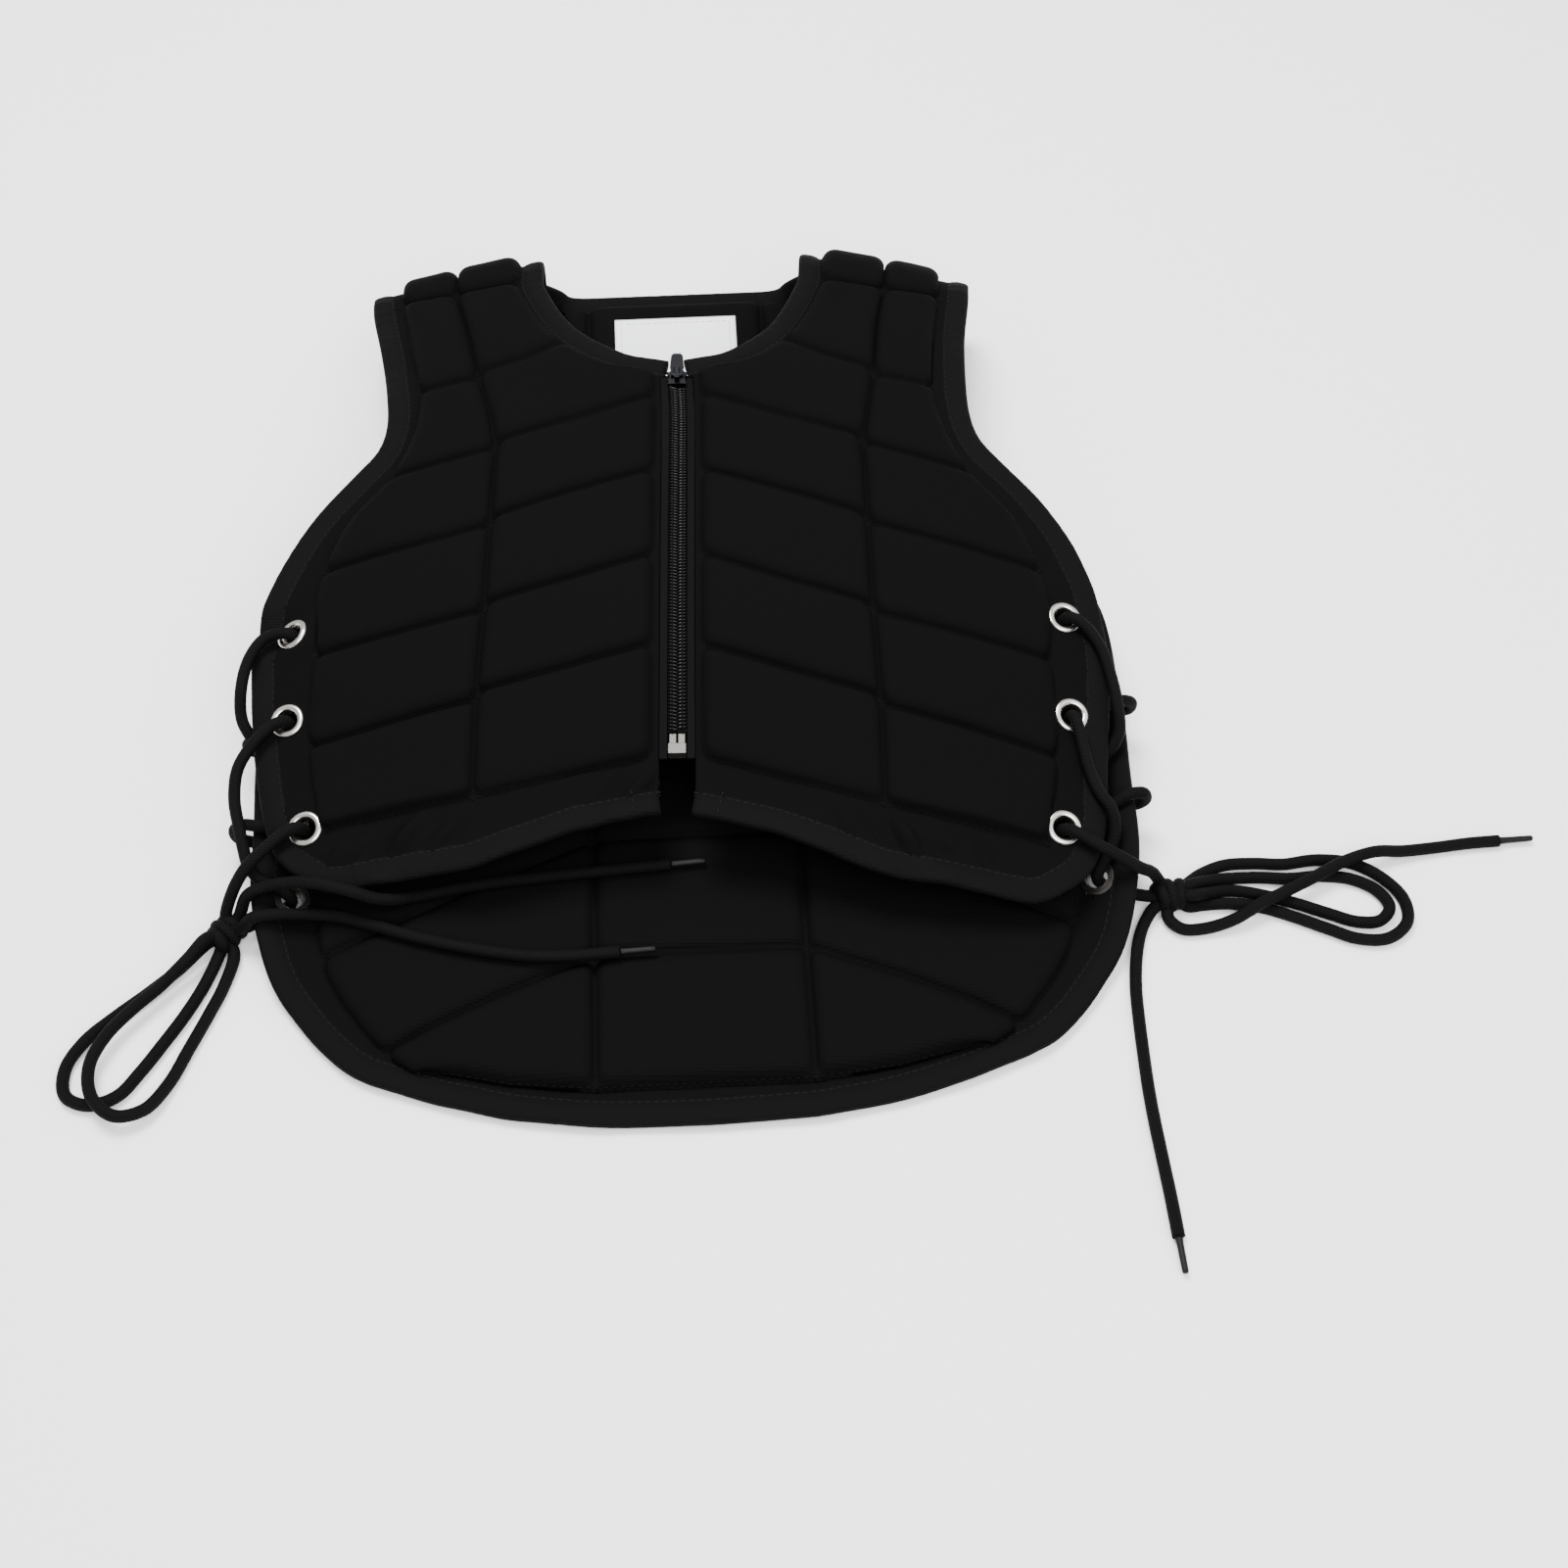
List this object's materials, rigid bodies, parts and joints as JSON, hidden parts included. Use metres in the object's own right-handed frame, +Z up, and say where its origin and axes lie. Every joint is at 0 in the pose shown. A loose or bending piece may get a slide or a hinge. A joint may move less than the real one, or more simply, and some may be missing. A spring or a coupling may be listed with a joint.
{
  "type": "riding body protector",
  "caption": "Padded riding vest with quilted foam blocks, a front zip and side panels laced through eyelets, lying on its back with its laces tied in bows.",
  "frame": {"origin": "under the middle of the garment, on the surface that it lies on, laces and their tags left out", "axes": "+X to the right seen from the front of the garment with its neck away, +Y from the hem to the neck, +Z up"},
  "size_m": [0.6367, 0.5524, 0.0747],
  "materials": {
    "shell_cloth": "matte",
    "binding_tape": "matte",
    "lace_braid": "satin",
    "tag_film": "gloss",
    "zip_nylon": "satin",
    "nickel": "satin",
    "gunmetal": "satin",
    "label_satin": "satin"
  },
  "bodies": {
    "vest": {"back_panel": "shell_cloth", "front_panel_right": "shell_cloth", "front_panel_left": "shell_cloth", "shoulder_right": "shell_cloth", "shoulder_left": "shell_cloth", "edge_binding": "binding_tape", "neck_binding": "binding_tape", "zip_tape_right": "binding_tape", "zip_tape_left": "binding_tape", "zip_coil": "zip_nylon", "zip_bottom_box": "nickel", "zip_slider": "gunmetal", "neck_label": "label_satin", "lace_right_run": "lace_braid", "lace_left_run": "lace_braid", "lace_right_loop_upper": "lace_braid", "lace_right_loop_lower": "lace_braid", "lace_right_tail_long": "lace_braid", "lace_right_tail_short": "lace_braid", "lace_left_loop_outer": "lace_braid", "lace_left_loop_inner": "lace_braid", "lace_left_tail_upper": "lace_braid", "lace_left_tail_lower": "lace_braid", "tag_right_tail_long": "tag_film", "tag_right_tail_short": "tag_film", "tag_left_tail_upper": "tag_film", "tag_left_tail_lower": "tag_film", "knot_right": "lace_braid", "knot_left": "lace_braid", "eyelet_front_right_upper": "nickel", "eyelet_front_right_middle": "nickel", "eyelet_front_right_lower": "nickel", "eyelet_front_left_upper": "nickel", "eyelet_front_left_middle": "nickel", "eyelet_front_left_lower": "nickel", "eyelet_back_right_upper": "nickel", "eyelet_back_right_middle": "nickel", "eyelet_back_right_lower": "nickel", "eyelet_back_left_upper": "nickel", "eyelet_back_left_middle": "nickel", "eyelet_back_left_lower": "nickel"},
    "zip_pull": {"zip_pull": "gunmetal"}
  },
  "joints": [
    {"name": "zip_pull_hinge", "type": "hinge", "parent": "vest", "child": "zip_pull", "pos_m": [-0.005, 0.122, 0.071], "axis": [1, 0, 0], "range_deg": [0, 160]}
  ]
}
